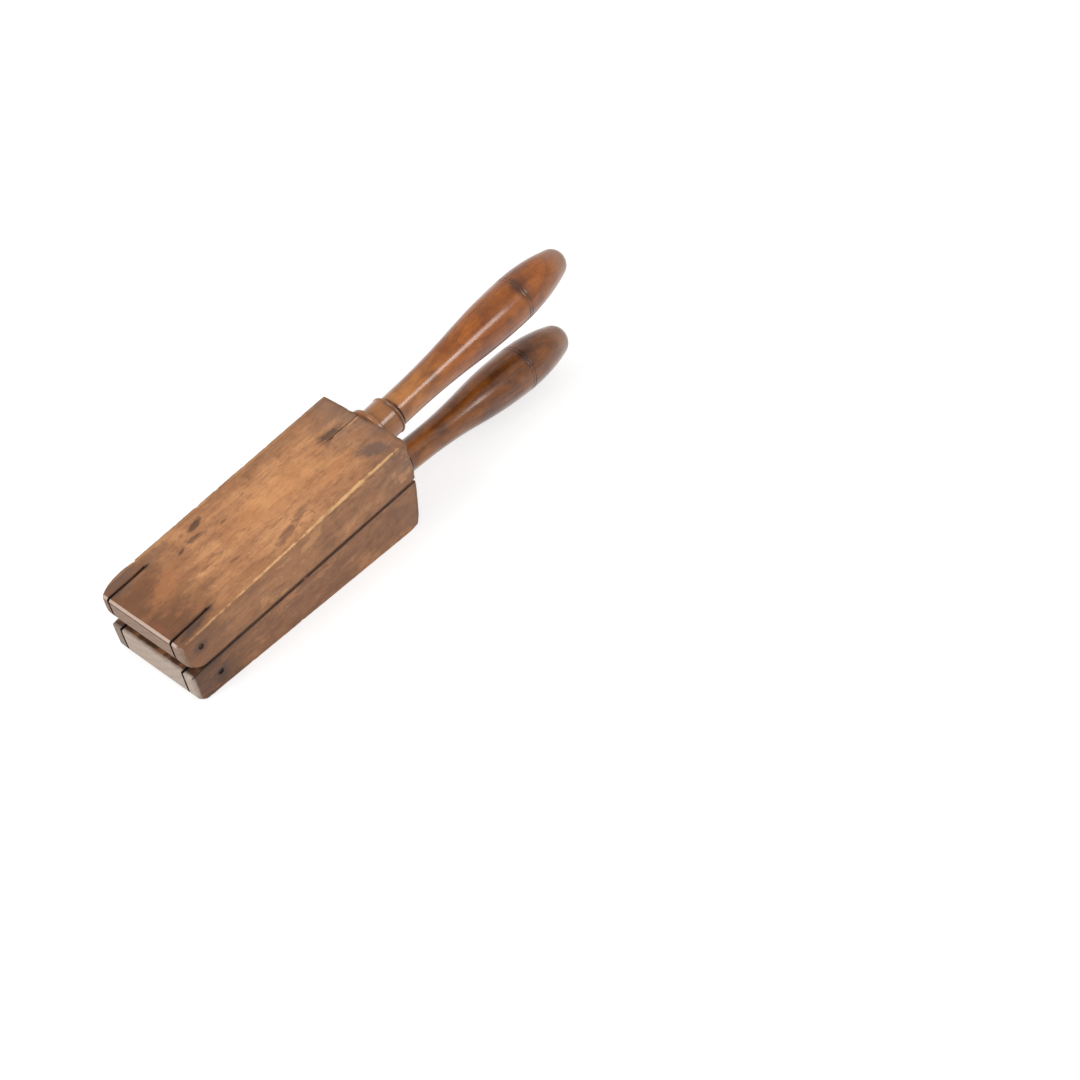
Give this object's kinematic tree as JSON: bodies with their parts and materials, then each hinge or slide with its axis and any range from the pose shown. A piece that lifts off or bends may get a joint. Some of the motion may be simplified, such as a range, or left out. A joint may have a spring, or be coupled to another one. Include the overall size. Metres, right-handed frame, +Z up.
{
  "type": "lever nutcracker press",
  "caption": "Wooden lever press for cracking nuts: wedge-shaped jaws joined by iron links at the thin end, with turned handles.",
  "frame": {"origin": "middle of the lower jaw's flat outer face, which the press lies on", "axes": "+X from the hinge end to the handles, +Y to the left seen from above with the handles pointing away, +Z up"},
  "size_m": [0.2871, 0.0517, 0.0754],
  "materials": {
    "jaw_wood": "old waxed fruitwood, worn satin",
    "handle_wood": "old turned fruitwood, polished by use",
    "iron": "dark, dry and slightly rusted"
  },
  "bodies": {
    "lower_half": {"lower_jaw": "jaw_wood", "lower_handle": "handle_wood", "lower_hinge_pin": "iron"},
    "links": {"left_link_plate": "iron", "right_link_plate": "iron"},
    "upper_half": {"upper_jaw": "jaw_wood", "upper_handle": "handle_wood", "upper_hinge_pin": "iron"}
  },
  "joints": [
    {"name": "link_swing", "type": "hinge", "parent": "lower_half", "child": "links", "pos_m": [-0.05682, 0, 0.00926], "axis": [0, -1, 0], "range_deg": [0, 6]},
    {"name": "jaw_opening", "type": "hinge", "parent": "links", "child": "upper_half", "pos_m": [-0.06301, 0, 0.03078], "axis": [0, -1, 0], "range_deg": [0, 165]}
  ]
}
